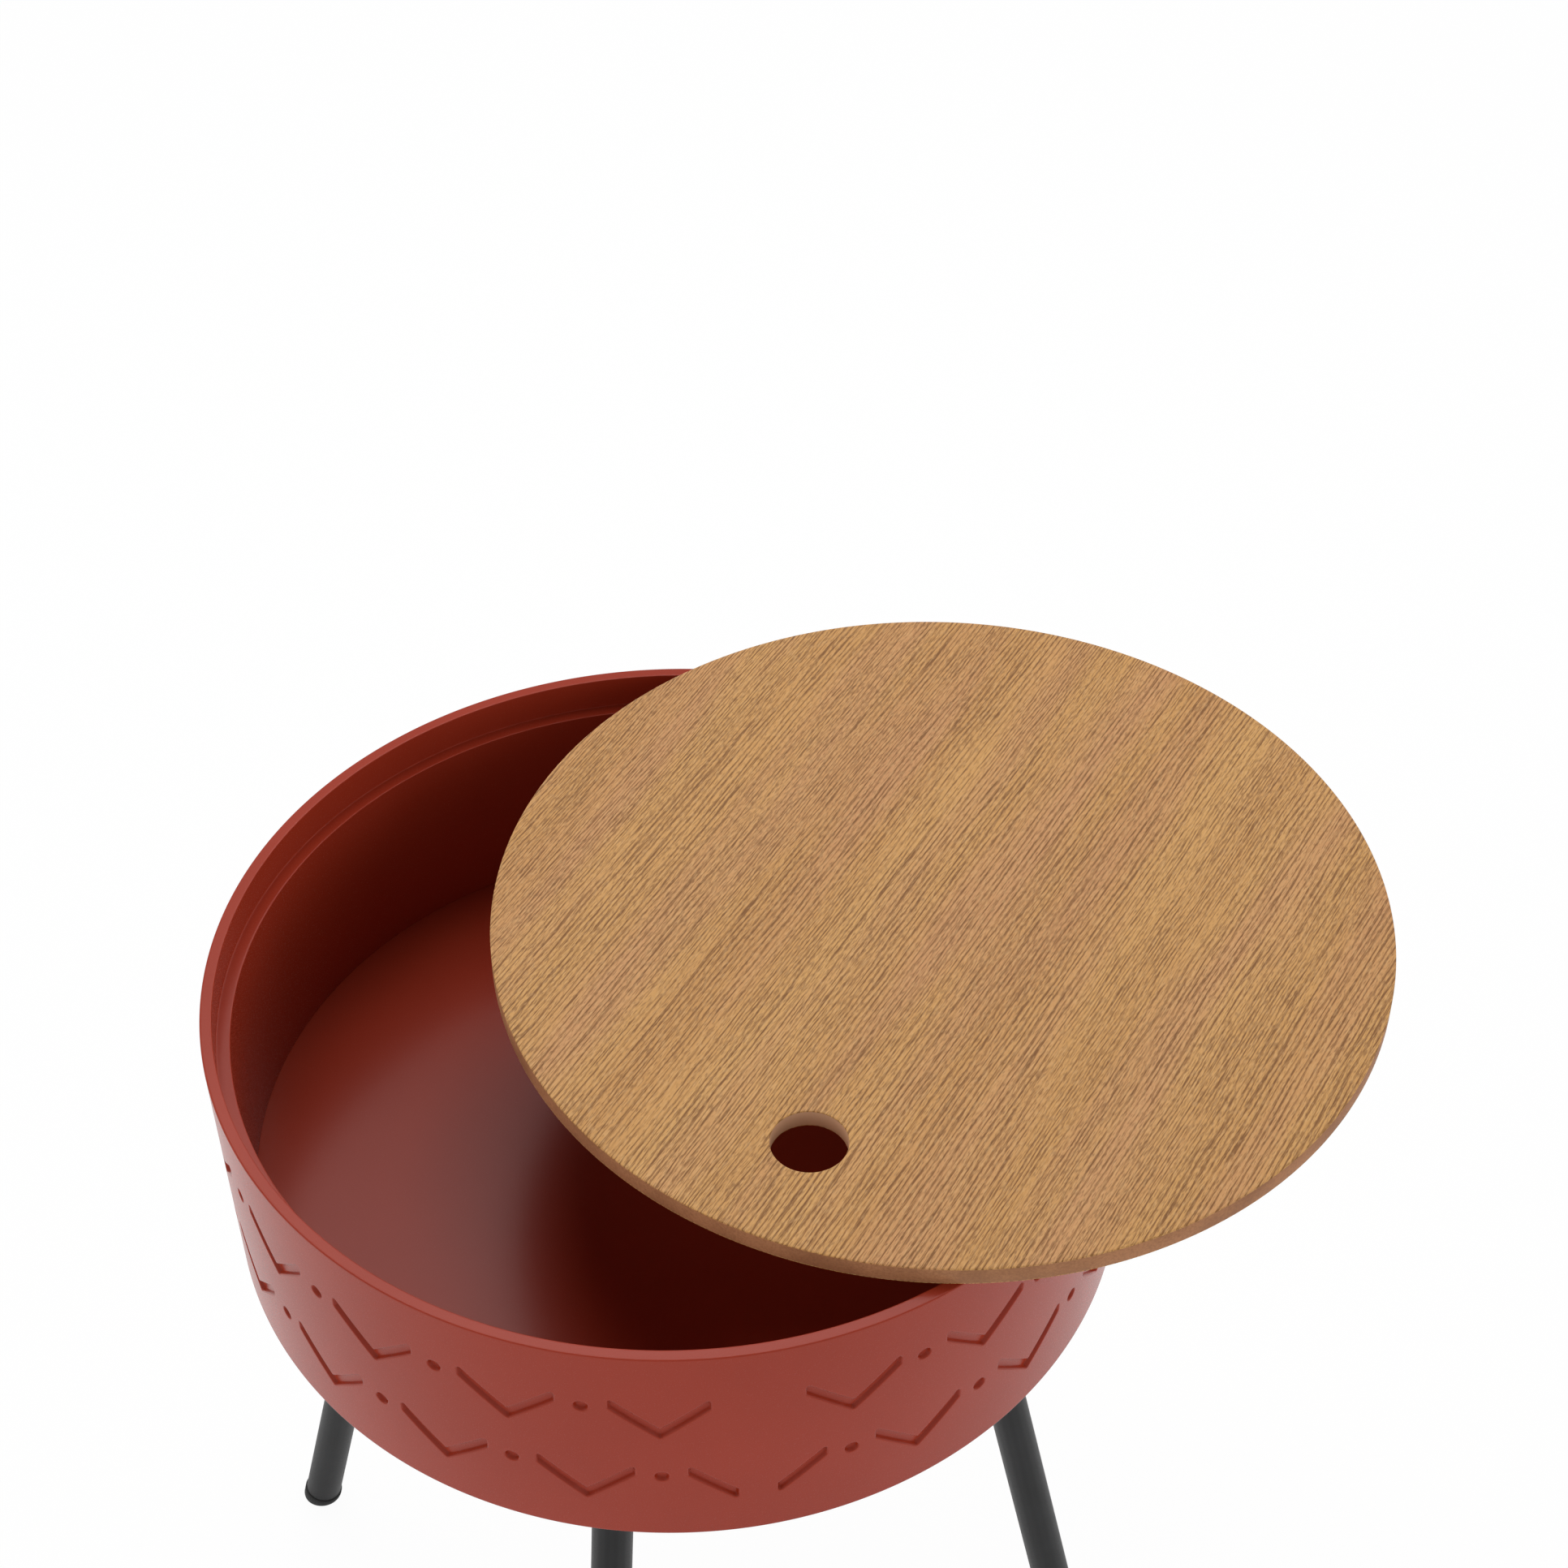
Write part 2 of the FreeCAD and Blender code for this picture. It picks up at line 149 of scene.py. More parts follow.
# %% Small helpers for shader nodes
def add_node(tree, kind, sockets=None, **settings):
    """One node: settings are its properties, sockets are numbers, colours or links."""
    node = tree.nodes.new(kind)
    for name, value in settings.items():
        setattr(node, name, value)
    for name, value in (sockets or {}).items():
        if isinstance(value, bpy.types.NodeSocket):
            tree.links.new(value, node.inputs[name])
        else:
            node.inputs[name].default_value = value
    return node


def blend_colours(tree, factor, first, second):
    """first where factor is 0, second where it is 1."""
    return add_node(tree, "ShaderNodeMix", {0: factor, 6: first, 7: second}, data_type="RGBA").outputs[2]


def band(tree, pattern, low, high, out_low=0.0, out_high=1.0):
    """A pattern's values from low to high, stretched to a new range and held at its ends."""
    sockets = {"Value": pattern, "From Min": low, "From Max": high, "To Min": out_low, "To Max": out_high}
    return add_node(tree, "ShaderNodeMapRange", sockets).outputs["Result"]


def noise(tree, place, scale, detail=2.0, roughness=0.5):
    """Soft clouds whose lumps are about 1 / scale metres across."""
    sockets = {"Vector": place, "Scale": scale, "Detail": detail, "Roughness": roughness}
    return add_node(tree, "ShaderNodeTexNoise", sockets).outputs["Fac"]


def new_finish(name):
    """An empty material with its main shader, and the place of each surface point."""
    material = bpy.data.materials.new(name)
    material.use_nodes = True
    tree = material.node_tree
    shader = tree.nodes["Principled BSDF"]
    place = add_node(tree, "ShaderNodeTexCoord").outputs["Object"]
    return material, tree, shader, place


print("node helpers ready")

# %% [markdown]
# ## The lacquer
# The drum is sprayed with a satin red lacquer. Sprayed paint is never quite even: its red drifts slowly over
# the piece, it has a faint orange peel a millimetre or two across, and its gloss varies as finely as the
# spray. A flat red would look like plastic, so all three are in the finish, and all three are weak.

# %% Satin red lacquer
deep_red = (0.282, 0.0285, 0.0115, 1)
warm_red = (0.312, 0.0330, 0.0142, 1)
peel_depth = 0.12 * mm


def make_lacquer():
    """Red that drifts by some percent, with uneven gloss and a fine sprayed texture."""
    material, tree, shader, place = new_finish("satin_red_lacquer")
    drift = noise(tree, place, 11.0, detail=3.0)
    colour = blend_colours(tree, band(tree, drift, 0.3, 0.7), deep_red, warm_red)
    peel = noise(tree, place, 620.0, detail=1.0)
    mist = noise(tree, place, 2600.0, detail=1.0)
    tree.links.new(colour, shader.inputs["Base Color"])
    tree.links.new(band(tree, mist, 0.3, 0.7, 0.21, 0.28), shader.inputs["Roughness"])
    bump = add_node(tree, "ShaderNodeBump", {"Height": peel, "Strength": 0.10, "Distance": peel_depth})
    tree.links.new(bump.outputs["Normal"], shader.inputs["Normal"])
    shader.inputs["Specular IOR Level"].default_value = 0.14
    return material


lacquer = make_lacquer()
print("made", lacquer.name)

# %% [markdown]
# ## The veneer
# The lid is faced with an open-pored wood. Three things make it read as wood: slow bands of tone that run
# the whole length of the board, fine lines along them at fairly even spaces, and the pores, which are short
# dark dashes. One mapping turns the grain once for all. Tone and pores are noise stretched along the grain.
# The lines are waves across it, because noise alone would not keep their even spaces.

# %% Directions along the grain
grain_turn = math.radians(45.5)


def along_grain(tree, place, along, across):
    """Points turned so that X runs along the grain, then squeezed: fewer lumps along than across."""
    turn = add_node(tree, "ShaderNodeMapping", {"Vector": place, "Rotation": (0, 0, -grain_turn)})
    sockets = {"Vector": turn.outputs["Vector"], "Scale": (along, across, across)}
    return add_node(tree, "ShaderNodeMapping", sockets).outputs["Vector"]


def grain_noise(tree, place, along, across, detail=2.0):
    """Clouds stretched along the grain, with so many lumps in a metre along it and across it."""
    return noise(tree, along_grain(tree, place, along, across), 1.0, detail=detail)


def swayed(tree, place, reach, scale):
    """Points pushed to and fro by soft clouds, so that straight lines sway a little."""
    sockets = {"Vector": place, "Scale": scale, "Detail": 2.0}
    clouds = add_node(tree, "ShaderNodeTexNoise", sockets).outputs["Color"]
    centred = add_node(tree, "ShaderNodeVectorMath", {0: clouds, 1: (0.5, 0.5, 0.5)}, operation="SUBTRACT")
    push = add_node(tree, "ShaderNodeVectorMath", {0: centred.outputs[0], "Scale": reach}, operation="SCALE")
    return add_node(tree, "ShaderNodeVectorMath", {0: place, 1: push.outputs[0]}).outputs[0]


def fibre_lines(tree, place, spacing, wander):
    """Waves across the grain, one for each spacing, pushed off their places by a slow noise. At scale 1 the
    texture's own waves are pi / 10 long."""
    wave_length = math.pi / 10
    sockets = {"Vector": along_grain(tree, place, 0.07, 1.0), "Scale": wave_length / spacing}
    sockets.update({"Distortion": wander, "Detail": 2.0, "Detail Scale": 2.2, "Detail Roughness": 0.5})
    return add_node(tree, "ShaderNodeTexWave", sockets, bands_direction="Y").outputs["Fac"]


print(f"grain at {math.degrees(grain_turn):.1f} degrees")

# %% [markdown]
# The lines stand closer in some bands than in others, and each line breaks up every centimetre or two. Two
# sets of lines with different spaces are therefore blended by a slow noise, and a finer noise thins them.
# The pores are dashes a few millimetres long that crowd in some bands.

# %% Tones, lines and pores of the wood
straw = (0.565, 0.305, 0.101, 1)
golden = (0.512, 0.259, 0.083, 1)
rosy = (0.490, 0.232, 0.116, 1)
wide_lines = 2.3 * mm
close_lines = 1.5 * mm
line_wander = 5.0


def wood_tones(tree, place):
    """Straw and gold in slow bands, with rosy zones over them."""
    tone = grain_noise(tree, place, 1.5, 26.0)
    blush = grain_noise(tree, place, 4.0, 36.0)
    body = blend_colours(tree, band(tree, tone, 0.32, 0.68), straw, golden)
    return blend_colours(tree, band(tree, blush, 0.44, 0.68, 0.0, 0.50), body, rosy)


def wood_lines(tree, place):
    """The waves of both spacings, each in its zones, and how dark a line is after it is thinned."""
    wide = fibre_lines(tree, place, wide_lines, line_wander)
    close = fibre_lines(tree, place, close_lines, line_wander)
    zones = grain_noise(tree, place, 4.0, 42.0, detail=1.0)
    waves = add_node(tree, "ShaderNodeMix", {0: band(tree, zones, 0.46, 0.62), 2: wide, 3: close}).outputs[0]
    breaks = grain_noise(tree, place, 55.0, 1900.0)
    whole = band(tree, breaks, 0.28, 0.58, 0.2, 1.0)
    sockets = {0: band(tree, waves, 0.50, 0.82, 0.0, 0.95), 1: whole}
    return waves, add_node(tree, "ShaderNodeMath", sockets, operation="MULTIPLY").outputs[0]


def wood_pores(tree, place):
    """Short dashes that crowd in some bands and thin out in others."""
    crowd = grain_noise(tree, place, 6.0, 45.0)
    dashes = grain_noise(tree, place, 300.0, 2300.0, detail=1.0)
    gathered = add_node(tree, "ShaderNodeMath", {0: dashes, 1: band(tree, crowd, 0.3, 0.7, -0.04, 0.05)})
    return band(tree, gathered.outputs[0], 0.50, 0.66, 0.0, 0.60)


print(f"lines {wide_lines / mm:.1f} mm and {close_lines / mm:.1f} mm apart")

# %% [markdown]
# The finish puts these on top of each other, with a few pale flecks last. The lines are a little rougher
# than the wood between them, and the pores are sunk.

# %% Open-pored wood veneer
line_brown = (0.190, 0.079, 0.025, 1)
pore_brown = (0.170, 0.072, 0.024, 1)
fleck_gold = (0.62, 0.37, 0.16, 1)
sway_reach = 3.5 * mm
pore_depth = 0.10 * mm


def make_veneer():
    """Tones, then lines, then pores, then flecks."""
    material, tree, shader, place = new_finish("open_pored_veneer")
    swaying = swayed(tree, place, sway_reach, 9.0)
    waves, dark = wood_lines(tree, swaying)
    pores = wood_pores(tree, swaying)
    flecks = grain_noise(tree, place, 300.0, 1300.0, detail=1.0)
    lined = blend_colours(tree, dark, wood_tones(tree, swaying), line_brown)
    pored = blend_colours(tree, pores, lined, pore_brown)
    colour = blend_colours(tree, band(tree, flecks, 0.5, 0.7, 0.0, 0.35), pored, fleck_gold)
    tree.links.new(colour, shader.inputs["Base Color"])
    tree.links.new(band(tree, waves, 0.2, 0.9, 0.46, 0.58), shader.inputs["Roughness"])
    sockets = {"Height": pores, "Strength": 0.3, "Distance": pore_depth}
    bump = add_node(tree, "ShaderNodeBump", sockets, invert=True)
    tree.links.new(bump.outputs["Normal"], shader.inputs["Normal"])
    shader.inputs["Specular IOR Level"].default_value = 0.15
    return material


veneer = make_veneer()
print("made", veneer.name)

# %% [markdown]
# ## Board edge, steel and plastic
# The lid's edge is the board itself, stained brown: pressed fibres, finely mottled. The legs are steel under
# a dark powder coat, which is matt and slightly grainy. The feet are black moulded plastic, and the screws
# are plated with zinc. One function makes all four, as grains of two tones that drift in wider patches.

# %% Board, powder coat, plastic and zinc
patch_grains = 24
grain_depth = 0.08 * mm


def make_mottled(name, tones, scale, rough, metallic=0.0):
    """A finish of two tones in fine grains, with gloss and a bump that follow the same grains."""
    material, tree, shader, place = new_finish(name)
    grains = noise(tree, place, scale, detail=3.0, roughness=0.6)
    drift = noise(tree, place, scale / patch_grains, detail=2.0)
    both = add_node(tree, "ShaderNodeMath", {0: grains, 1: drift}, operation="MULTIPLY").outputs[0]
    colour = blend_colours(tree, band(tree, both, 0.12, 0.38), *tones)
    tree.links.new(colour, shader.inputs["Base Color"])
    tree.links.new(band(tree, grains, 0.3, 0.7, *rough), shader.inputs["Roughness"])
    bump = add_node(tree, "ShaderNodeBump", {"Height": grains, "Strength": 0.1, "Distance": grain_depth})
    tree.links.new(bump.outputs["Normal"], shader.inputs["Normal"])
    shader.inputs["Metallic"].default_value = metallic
    shader.inputs["Specular IOR Level"].default_value = 0.2
    return material


board_tones = ((0.240, 0.103, 0.046, 1), (0.385, 0.177, 0.081, 1))
powder_tones = ((0.010, 0.010, 0.010, 1), (0.015, 0.015, 0.016, 1))
plastic_tones = ((0.014, 0.014, 0.014, 1), (0.022, 0.022, 0.022, 1))
zinc_tones = ((0.40, 0.41, 0.42, 1), (0.56, 0.57, 0.58, 1))
board = make_mottled("stained_board", board_tones, scale=900, rough=(0.55, 0.7))
powder = make_mottled("dark_powder_coat", powder_tones, scale=1500, rough=(0.4, 0.52))
plastic = make_mottled("black_plastic", plastic_tones, scale=1100, rough=(0.5, 0.62))
zinc = make_mottled("zinc_plate", zinc_tones, scale=700, rough=(0.28, 0.42), metallic=1.0)
print("made", [finish.name for finish in (board, powder, plastic, zinc)])

# %% [markdown]
# ## From arrays to a piece
# Each new piece is worked out as whole arrays of points. A grid of rings becomes faces by counting: a
# face joins two neighbours on one ring to the two beside them on the next. Points that fall together,
# as at a pole or a seam, are then merged, so the surface is closed.

# %% Grid faces and finished pieces
weld_distance = 0.002 * mm


def ring_faces(rings, samples, closed_rings=False):
    """Faces of a stack of closed rings: (ring, i), (ring, i+1), (next ring, i+1), (next ring, i)."""
    ring = np.arange(rings if closed_rings else rings - 1)[:, None]
    sample = np.arange(samples)[None, :]
    after, beside = (ring + 1) % rings, (sample + 1) % samples
    here, above = ring * samples, after * samples
    corners = (here + sample, here + beside, above + beside, above + sample)
    return np.stack(np.broadcast_arrays(*corners), axis=-1).reshape(-1, 4)


def make_piece(name, points, faces, finish, body, slot, *nodes):
    """A mesh from arrays, welded, turned outwards and shaded smooth, riding on a body of the frame."""
    mesh = bpy.data.meshes.new(name)
    mesh.from_pydata(points.reshape(-1, 3).tolist(), [], faces.tolist())
    work = bmesh.new()
    work.from_mesh(mesh)
    bmesh.ops.remove_doubles(work, verts=work.verts, dist=weld_distance)
    bmesh.ops.recalc_face_normals(work, faces=work.faces)
    open_edges = sum(len(edge.link_faces) != 2 for edge in work.edges)
    work.to_mesh(mesh)
    work.free()
    mesh.shade_smooth()
    mesh.materials.append(finish)
    piece = bpy.data.objects.new(name, mesh)
    bpy.context.scene.collection.objects.link(piece)
    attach(piece, body)
    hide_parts(*nodes)
    print(f"{name}: {len(mesh.polygons)} faces, {open_edges} open edges")


print("three rings of four points give", len(ring_faces(3, 4)), "faces")

# %% [markdown]
# ## Eased edges
# No edge on a painted or sanded piece is razor sharp, and an eased edge catches a thin line of light. A
# profile's corners are rounded by a small arc. One more point on each side of the arc keeps the flat parts
# flat when they are shaded smooth.

# %% Profiles with eased corners
arc_shares = np.linspace(0, 1, 4)
support_gap = 0.6 * mm
support_share = 0.3


def eased_profile(corners, radii):
    """Each corner becomes: a support point, an arc tangent to both sides, a support point."""
    corners = np.asarray(corners, float)
    stretches = []
    for before, corner, after, radius in zip(corners[:-2], corners[1:-1], corners[2:], radii):
        arrive, leave = unit(corner - before), unit(after - corner)
        turn = math.acos(np.clip(arrive @ leave, -1, 1))
        reach = radius * math.tan(turn / 2)
        shorter = min(np.linalg.norm(corner - before), np.linalg.norm(after - corner))
        gap = min(support_gap, support_share * shorter)
        start, end = corner - arrive * reach, corner + leave * reach
        middle = start + unit(end - start - arrive * ((end - start) @ arrive)) * radius
        spoke = start - middle
        angle = turn * arc_shares[:, None]
        arc = middle + spoke * np.cos(angle) + arrive * radius * np.sin(angle)
        stretches += [(start - arrive * gap)[None], arc, (end + leave * gap)[None]]
    return np.concatenate([corners[:1], *stretches, corners[-1:]])


print("an eased square corner has", len(eased_profile([(0, 0), (1, 0), (1, 1)], [0.1])) - 2, "points")

# %% [markdown]
# ## The routed pattern on flat paper
# Two rows of chevrons with a dot between each pair are routed into the outside of the drum. The pattern
# was made flat before the wall was bent round, and stops at the seam, so it is worked out flat here too:
# s runs along the rim, t down from the rim and depth into the wood. The drum is narrower below, so a width
# half way down is widened a little to give its s. The wall is cut into tiles. In each tile a stack of rings
# leads from the tile's border to the groove's outline, and then down into the groove.

# %% Sizes of the pattern
chevrons = 20
seam_turn = math.radians(-94.2)
seam_margin = 8.2 * mm
chevron_half = 20 * mm
chevron_drop = 19 * mm
chevron_top = 27 * mm
arm_height = 6.5 * mm
row_step = 45 * mm
row_top = 22 * mm
dot_radius = 2.9 * mm
dot_drop = 34 * mm
groove_depth = 1.9 * mm
bit_radius = 1.0 * mm
pitch = (2 * math.pi * rim_radius - 2 * seam_margin) / chevrons
pitch_columns = 32
margin_columns = 4
column = pitch / pitch_columns
side_steps = 13
chevron_columns = 24
dot_columns = pitch_columns - chevron_columns
widen = rim_radius / ((rim_radius + foot_radius) / 2)


def column_places():
    """Where the upright columns of points stand: a few in each margin of the seam, even everywhere else."""
    margin = np.linspace(0, seam_margin, margin_columns, endpoint=False)
    even = seam_margin + column * np.arange(chevrons * pitch_columns)
    return np.concatenate([margin, even, 2 * math.pi * rim_radius - seam_margin + margin])


columns = column_places()
print(f"pitch {pitch / mm:.2f} mm, {len(columns)} columns, {column / mm:.2f} mm apart")

# %% [markdown]
# A router bit is round, so it leaves round corners. An outline is therefore a base shape, drawn in from the
# real one by the bit's radius, plus a step along each point's outward direction. A wider or narrower ring
# only needs a longer or shorter step.

# %% Outlines with the router's round corners
def arc_step(start, end, share):
    """The direction that lies a share of the way from one unit direction to another."""
    turn = math.acos(np.clip(start @ end, -1, 1))
    return (start * math.sin((1 - share) * turn) + end * math.sin(share * turn)) / math.sin(turn)


def groove_outline(corners, steps):
    """Base points and outward steps. Corners go round the outline, left side first and downwards.
    Between two corners: the rest of the first arc, evenly spaced points, the start of the next arc."""
    corners = np.asarray(corners, float)
    along = np.roll(corners, -1, axis=0) - corners
    along /= np.linalg.norm(along, axis=1)[:, None]
    normals = np.stack([-along[:, 1], along[:, 0]], axis=1)
    before = np.roll(normals, 1, axis=0)
    mitre = (before + normals) / (1 + np.sum(before * normals, axis=1))[:, None]
    base = corners - mitre * bit_radius
    turn_side = before[:, 0] * normals[:, 1] - before[:, 1] * normals[:, 0]
    bases, outs = [], []
    for k, count in enumerate(steps):
        n = (k + 1) % len(corners)
        first = [arc_step(before[k], normals[k], share) for share in (0.5, 0.75, 1)]
        last = [arc_step(before[n], normals[n], share) for share in (0, 0.25)]
        first = first if turn_side[k] < 0 else [mitre[k]]
        last = last if turn_side[n] < 0 else []
        straight = count - len(first) - len(last)
        shares = (np.arange(straight) + 1) / (straight + 1)
        bases += [base[k]] * len(first)
        bases += list(base[k] + (base[n] - base[k]) * shares[:, None]) + [base[n]] * len(last)
        outs += first + [normals[k]] * straight + last
    return np.array(bases), np.array(outs)


def dot_outline():
    """A dot: all base points in the middle, and steps that turn once round, a quarter for each side."""
    quarter = np.array([side_steps, dot_columns, side_steps, dot_columns])
    turns = np.concatenate([(k + np.arange(n) / n) * math.pi / 2 for k, n in enumerate(quarter)])
    angle = math.pi * 5 / 4 - turns
    outs = np.stack([np.cos(angle), np.sin(angle)], axis=1)
    return np.zeros_like(outs), outs


print("a dot has", len(dot_outline()[1]), "points")

# %% [markdown]
# The cut's cross-section is the same everywhere: a slightly eased top edge, a side that leans in a little,
# and a small fillet at the bottom, where the lacquer has filled the corner. It is written once, as pairs of
# a step outwards and a depth.

# %% Section of a groove
edge_ease = 0.55 * mm
side_lean = 0.45 * mm
bottom_fillet = 0.45 * mm
face_far = 0.9 * mm
face_near = 0.3 * mm
quarter_turn = np.radians([0, 45, 90])


def groove_section():
    """(step outwards, depth) from the wall's face over the eased edge, down, and round to the bottom."""
    face = np.array([[face_far + edge_ease, 0], [face_near + edge_ease, 0]])
    top = np.stack([1 - np.sin(quarter_turn), 1 - np.cos(quarter_turn)], axis=1) * edge_ease
    foot = np.stack([np.cos(quarter_turn) - 1, np.sin(quarter_turn) - 1], axis=1) * bottom_fillet
    foot += np.array([-side_lean, groove_depth])
    return np.concatenate([face, top, foot])


print("section points:", len(groove_section()))

# %% [markdown]
# A tile is a stack of rings with as many points each, from its border to the groove's outline and down the
# section. The bottom is closed by joining each point to the one across the groove.

# %% One tile: border, rings and bottom
border_shares = np.array([0, 0.4, 0.75])


def tile_border(across, top):
    """Points round a tile: down its left side, along the bottom, up the right side and back."""
    count = len(across) - 1
    down = np.linspace(top, top + row_step, side_steps + 1)
    left, right = np.full(side_steps, across[0]), np.full(side_steps, across[-1])
    s = np.concatenate([left, across[:-1], right, across[:0:-1]])
    t = np.concatenate([down[:-1], np.full(count, down[-1]), down[:0:-1], np.full(count, top)])
    return np.stack([s, t], axis=1)


def tile_rings(border, bases, outs, radius):
    """Rings from the border towards the first outline, then one ring for each point of the section."""
    steps, depths = groove_section().T
    cut = bases + (radius + steps)[:, None, None] * outs
    lead = border + border_shares[:, None, None] * (cut[0] - border)
    flat = np.concatenate([lead, cut])
    depth = np.concatenate([np.zeros(len(lead)), depths])
    depth = np.broadcast_to(depth[:, None, None], (*flat.shape[:2], 1))
    return np.concatenate([flat, depth], axis=2)


def bottom_faces(count):
    """Faces across the bottom of a groove that is count columns wide: each point is joined with the one on
    the other side. The number of side steps is odd, so the last face at each end is a whole one too."""
    right_foot = side_steps + count
    total = 2 * right_foot
    end = np.arange(side_steps // 2)
    run = np.arange(count)
    left = np.stack([end, end + 1, side_steps - end - 1, side_steps - end], axis=1)
    middle = np.stack([side_steps + run, side_steps + run + 1, total - run - 1, total - run], axis=1)
    return np.concatenate([left, middle, left + right_foot]) % total


print("faces on the bottom of a chevron:", len(bottom_faces(chevron_columns)))

# %% [markdown]
# A chevron has two arms that fall to its middle. Beside the seam the lower row has half chevrons, one arm
# each, and the upper row has plain wall.

# %% Corners of the chevrons
def chevron_corners(row):
    """Six corners: two arms that fall to the middle, with upright ends."""
    top = chevron_top + row * row_step
    half, drop = chevron_half * widen, chevron_drop
    return [(-half, top), (-half, top + arm_height), (0, top + drop + arm_height),
            (half, top + arm_height), (half, top), (0, top + drop)]


def half_corners(row, side):
    """Four corners of one arm that starts at the seam's margin and rises away from the seam."""
    top = chevron_top + row * row_step
    near, far = seam_margin, seam_margin + chevron_half * widen
    low = top + chevron_drop
    arm = [(near, low), (near, low + arm_height), (far, top + arm_height), (far, top)]
    mirrored = [(-s, t) for s, t in (arm[3], arm[2], arm[1], arm[0])]
    return arm if side > 0 else mirrored


print(f"a chevron spans {2 * chevron_half * widen / mm:.1f} mm of the rim")

# %% [markdown]
# Now the three kinds of tile are made once and copied along the wall. Upper and lower row are half a pitch
# apart: above a chevron of the lower row there is a dot, and below one of the upper row too.

# %% Lay the tiles along the wall
def copies(rings, middles):
    """The same tile at several places along the wall."""
    shift = np.zeros((len(middles), 1, 1, 3))
    shift[:, 0, 0, 0] = middles
    return rings[None] + shift


def tile_faces(rings, count):
    """Faces of one tile: its rings, then the bottom inside the last ring."""
    samples = 2 * (side_steps + count)
    return np.concatenate([ring_faces(rings, samples), bottom_faces(count) + (rings - 1) * samples])


def lay_row(row):
    """All the tiles of a row in flat coordinates, each kind with the number of its columns."""
    top = row_top + row * row_step
    starts = seam_margin + pitch * (np.arange(chevrons) + 0.5)
    between = seam_margin + pitch * np.arange(1, chevrons)
    middles, dots = (starts, between) if row == 0 else (between, starts)
    border = tile_border(column * (np.arange(chevron_columns + 1) - chevron_columns / 2), top)
    outline = groove_outline(chevron_corners(row), [side_steps, *[chevron_columns // 2] * 2] * 2)
    laid = [(copies(tile_rings(border, *outline, bit_radius), middles), chevron_columns)]
    border = tile_border(column * (np.arange(dot_columns + 1) - dot_columns / 2), top)
    bases, outs = dot_outline()
    bases = bases + np.array([0, dot_drop + row * row_step])
    laid.append((copies(tile_rings(border, bases, outs, dot_radius), dots), dot_columns))
    if row == 1:
        laid += [half_tile(row, side, top) for side in (-1, 1)]
    return laid


def half_tile(row, side, top):
    """The tile from the seam to the far end of a half chevron."""
    count = margin_columns + chevron_columns // 2
    across = columns[: count + 1] * side
    border = tile_border(across[::side], top)
    outline = groove_outline(half_corners(row, side), [side_steps, count] * 2)
    return tile_rings(border, *outline, bit_radius)[None], count


print("tiles in the lower row:", [len(tiles) for tiles, _ in lay_row(1)])

# %% [markdown]
# Flat coordinates become the drum by one formula: s becomes an angle from the seam, t slides down the
# slope of the wall, and depth moves straight into it.

# %% Wrap the flat wall round the drum
def wrapped(flat):
    """(s, t, depth) to x, y, z: radius = rim - t sin(slope) - depth cos(slope), at angle seam + s / rim."""
    s, t, depth = np.moveaxis(flat, -1, 0)
    angle = seam_turn + s / rim_radius
    radius = rim_radius - t * math.sin(wall_slope) - depth * math.cos(wall_slope)
    height = rim_z - t * math.cos(wall_slope) + depth * math.sin(wall_slope)
    return np.stack([radius * np.cos(angle), radius * np.sin(angle), height], axis=-1)


print("half the way down:", np.round(wrapped(np.array([0, row_top + row_step, 0])), 4))

# %% [markdown]
# All tiles stand on the same columns, so the plain patch at the seam is a simple grid. The rest of the wall
# is one profile carried once round: foot, floor seat, cavity, ledge, rebate and rim. It starts below the
# pattern and ends above it.

# %% The turned profile of the wall
rim_ease = 0.45 * mm
inner_ease = 0.3 * mm
hidden_ease = 0.3 * mm


def wall_point(t):
    """A point of the outside, t below the rim, as radius and height."""
    return (rim_radius - t * math.sin(wall_slope), rim_z - t * math.cos(wall_slope))


def wall_profile():
    """Corners of the section and how far each is eased, from under the pattern round to above it."""
    ledge_z = rim_z - ledge_drop
    corners = [
        wall_point(row_top + 2 * row_step),
        (foot_radius, foot_z),
        (floor_seat_radius, foot_z),
        (floor_seat_radius, inside_floor_z),
        (cavity_foot_radius, inside_floor_z),
        (ledge_radius, ledge_z),
        (rebate_radius, ledge_z),
        (rebate_radius, rim_z),
        (rim_radius, rim_z),
        wall_point(row_top),
    ]
    below = [rim_ease, hidden_ease, hidden_ease, hidden_ease]
    above = [inner_ease, hidden_ease, inner_ease, rim_ease]
    return eased_profile(corners, below + above)


def carried_round(profile, angles):
    """Each profile point (radius, height) at each angle."""
    radius, height = profile.T[:, :, None]
    x, y = radius * np.cos(angles), radius * np.sin(angles)
    return np.stack([x, y, np.broadcast_to(height, x.shape)], axis=-1)


print("profile points:", len(wall_profile()))

# %% [markdown]
# All the parts of the wall are stacked into one list of points, each with its faces moved on by the points
# before it. Welding then joins the tiles with each other and with the turned profile.

# %% Put the wall together
def plain_patch():
    """The plain wall at the seam in the upper row, as a grid of upright columns."""
    count = margin_columns + dot_columns // 2
    near = columns[: count + 1]
    places = np.concatenate([-near[:0:-1], near])
    down = np.linspace(row_top, row_top + row_step, side_steps + 1)
    s, t = np.meshgrid(places, down)
    rows, across = s.shape
    index = np.arange(rows * across).reshape(rows, across)
    faces = np.stack([index[:-1, :-1], index[1:, :-1], index[1:, 1:], index[:-1, 1:]], axis=-1)
    return wrapped(np.stack([s, t, np.zeros_like(s)], axis=-1)).reshape(-1, 3), faces.reshape(-1, 4)


